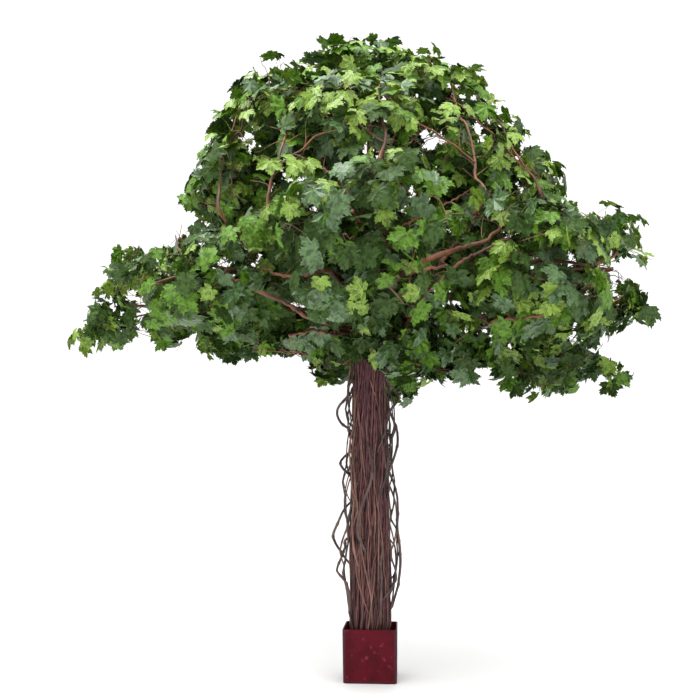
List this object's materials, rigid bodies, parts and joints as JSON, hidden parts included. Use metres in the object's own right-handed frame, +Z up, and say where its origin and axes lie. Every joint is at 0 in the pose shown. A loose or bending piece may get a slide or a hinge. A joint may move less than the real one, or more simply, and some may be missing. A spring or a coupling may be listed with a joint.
{
  "type": "artificial maple tree in a square pot",
  "caption": "Life-size artificial maple tree: a column of bundled vine stems in a small square pot, with spreading boughs and a domed crown of maple leaves.",
  "frame": {"origin": "middle of the flat underside of the pot", "axes": "+Z up along the trunk; -Y is the front; the pot's sides lie along X and Y"},
  "size_m": [2.8625, 2.7171, 3.2437],
  "materials": {
    "pot_lacquer": "dark red lacquer on moulded glass fibre, lightly scuffed",
    "cement": "rough cast cement, stained dark",
    "trunk_stems": "bundled natural stems, matt reddish brown bark",
    "vine": "thin peeled vine, satin light brown",
    "bough_bark": "natural branch, smooth reddish brown bark",
    "leaves": "printed polyester leaves, soft satin, dark to bright green"
  },
  "bodies": {
    "root": {"bough_high_1": "bough_bark", "bough_high_2": "bough_bark", "bough_high_3": "bough_bark", "bough_high_4": "bough_bark", "bough_inner_1": "bough_bark", "bough_inner_2": "bough_bark", "bough_inner_3": "bough_bark", "bough_inner_4": "bough_bark", "bough_low_1": "bough_bark", "bough_low_2": "bough_bark", "bough_low_3": "bough_bark", "bough_low_4": "bough_bark", "bough_low_5": "bough_bark", "bough_low_6": "bough_bark", "bough_low_7": "bough_bark", "bough_low_8": "bough_bark", "bough_middle_1": "bough_bark", "bough_middle_2": "bough_bark", "bough_middle_3": "bough_bark", "bough_middle_4": "bough_bark", "bough_middle_5": "bough_bark", "bough_middle_6": "bough_bark", "foliage_high_1": "leaves", "foliage_high_2": "leaves", "foliage_high_3": "leaves", "foliage_high_4": "leaves", "foliage_inner_1": "leaves", "foliage_inner_2": "leaves", "foliage_inner_3": "leaves", "foliage_inner_4": "leaves", "foliage_low_1": "leaves", "foliage_low_2": "leaves", "foliage_low_3": "leaves", "foliage_low_4": "leaves", "foliage_low_5": "leaves", "foliage_low_6": "leaves", "foliage_low_7": "leaves", "foliage_low_8": "leaves", "foliage_middle_1": "leaves", "foliage_middle_2": "leaves", "foliage_middle_3": "leaves", "foliage_middle_4": "leaves", "foliage_middle_5": "leaves", "foliage_middle_6": "leaves", "foliage_top": "leaves", "leader": "bough_bark", "loose_vine_1": "vine", "loose_vine_10": "vine", "loose_vine_2": "vine", "loose_vine_3": "vine", "loose_vine_4": "vine", "loose_vine_5": "vine", "loose_vine_6": "vine", "loose_vine_7": "vine", "loose_vine_8": "vine", "loose_vine_9": "vine", "pot": "pot_lacquer", "pot_cement": "cement", "trunk": "trunk_stems"}
  },
  "joints": []
}
